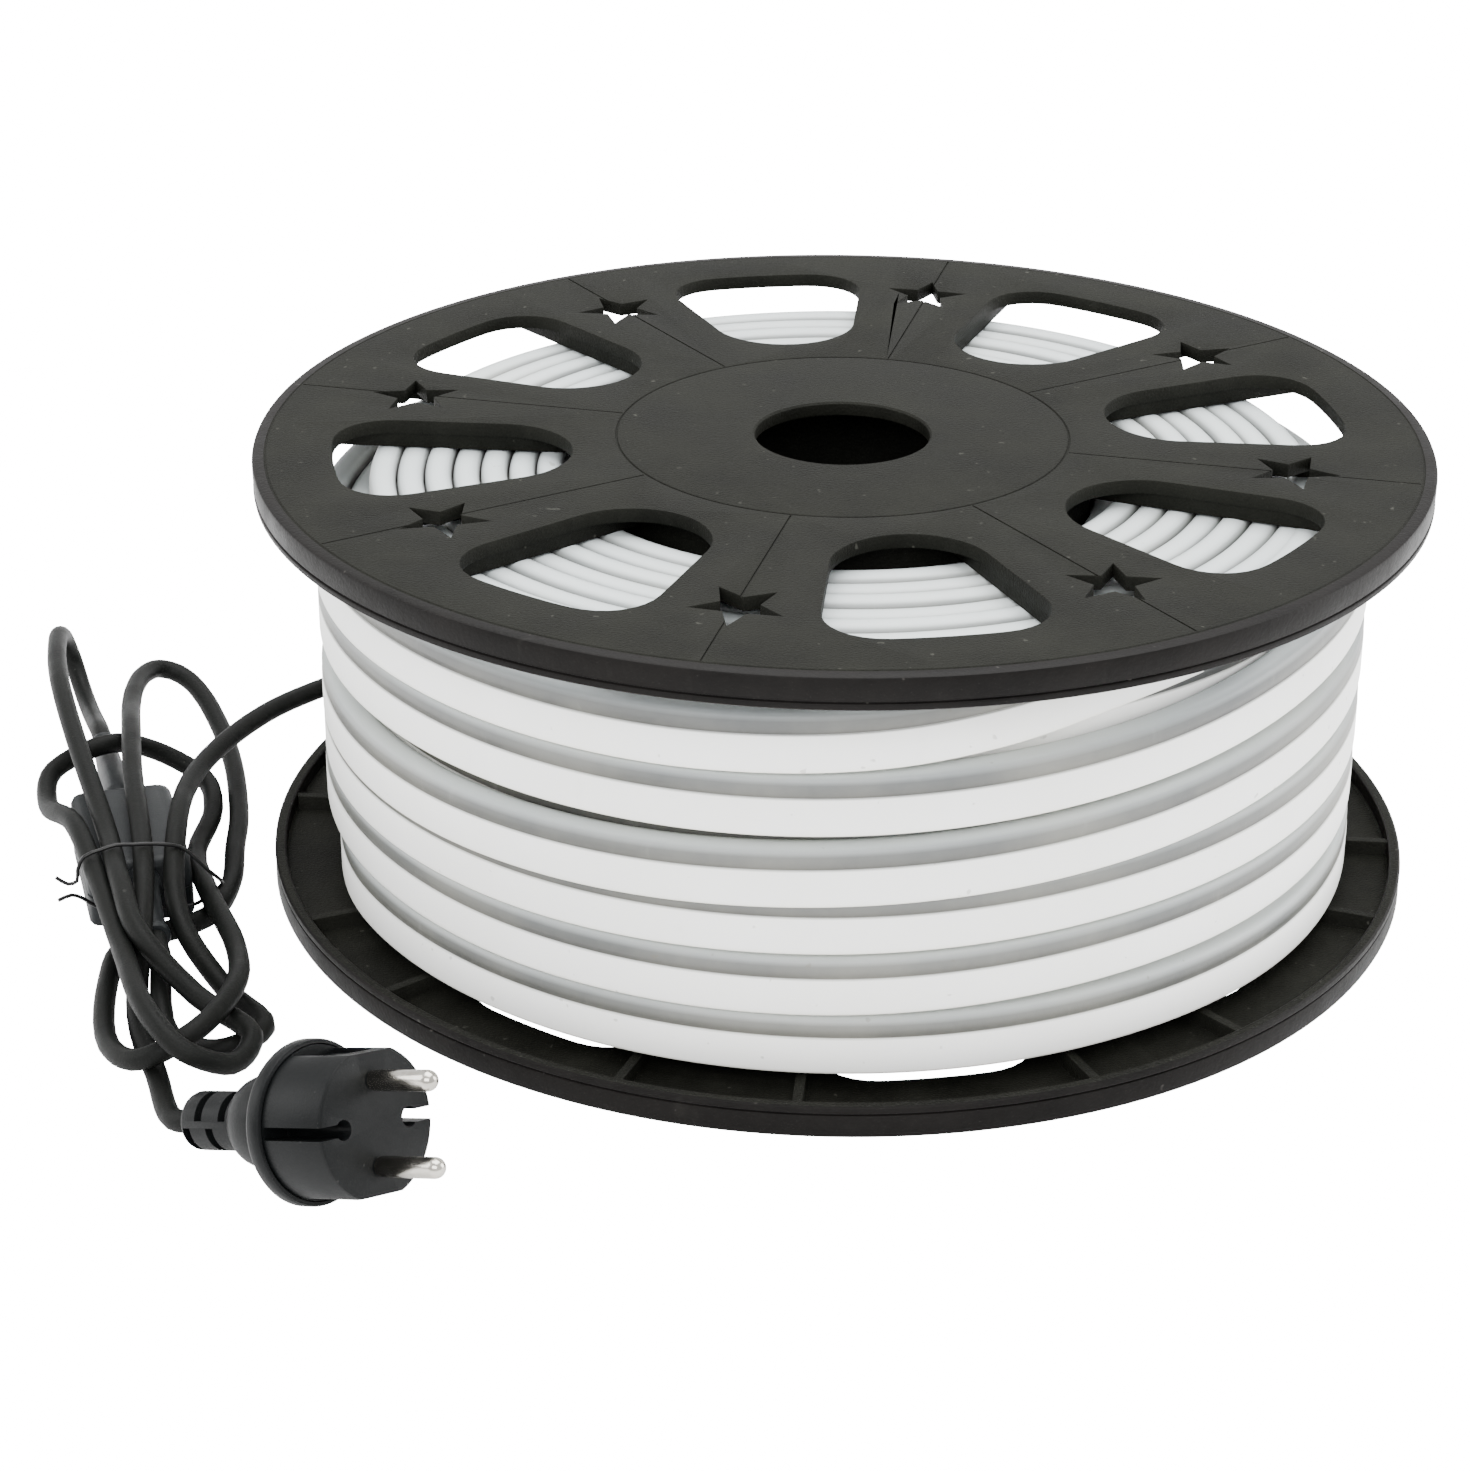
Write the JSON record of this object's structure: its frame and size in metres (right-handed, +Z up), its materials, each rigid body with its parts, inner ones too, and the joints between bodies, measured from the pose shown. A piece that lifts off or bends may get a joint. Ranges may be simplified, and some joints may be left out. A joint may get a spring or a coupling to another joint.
{
  "type": "led neon flex reel",
  "caption": "Flexible LED neon tube wound on a black plastic reel that lies on its flange, with its mains lead, rectifier box and plug tied in a hank beside it.",
  "frame": {"origin": "centre of the reel's lower face, on the floor", "axes": "+Z up along the reel's axis, the lead lies towards -X and -Y"},
  "size_m": [0.3787, 0.3524, 0.1178],
  "materials": {
    "spool_plastic": "fine grained moulded polypropylene",
    "flex_pvc": "satin white base with a milky translucent dome",
    "box_plastic": "satin",
    "plug_rubber": "satin moulded",
    "lead_rubber": "matte jacket",
    "tie_plastic": "thin coated wire",
    "cap_plastic": "satin moulded",
    "pin_nickel": "nickel plated"
  },
  "bodies": {
    "root": {"feed_lead": "lead_rubber", "flex_end_cap": "cap_plastic", "neon_flex_roll": "flex_pvc", "plug_body": "plug_rubber", "plug_lead": "lead_rubber", "plug_pin_1": "pin_nickel", "plug_pin_2": "pin_nickel", "rectifier_box": "box_plastic", "spool_core": "spool_plastic", "spool_flange_bottom": "spool_plastic", "spool_flange_top": "spool_plastic", "twist_tie": "tie_plastic"}
  },
  "joints": []
}
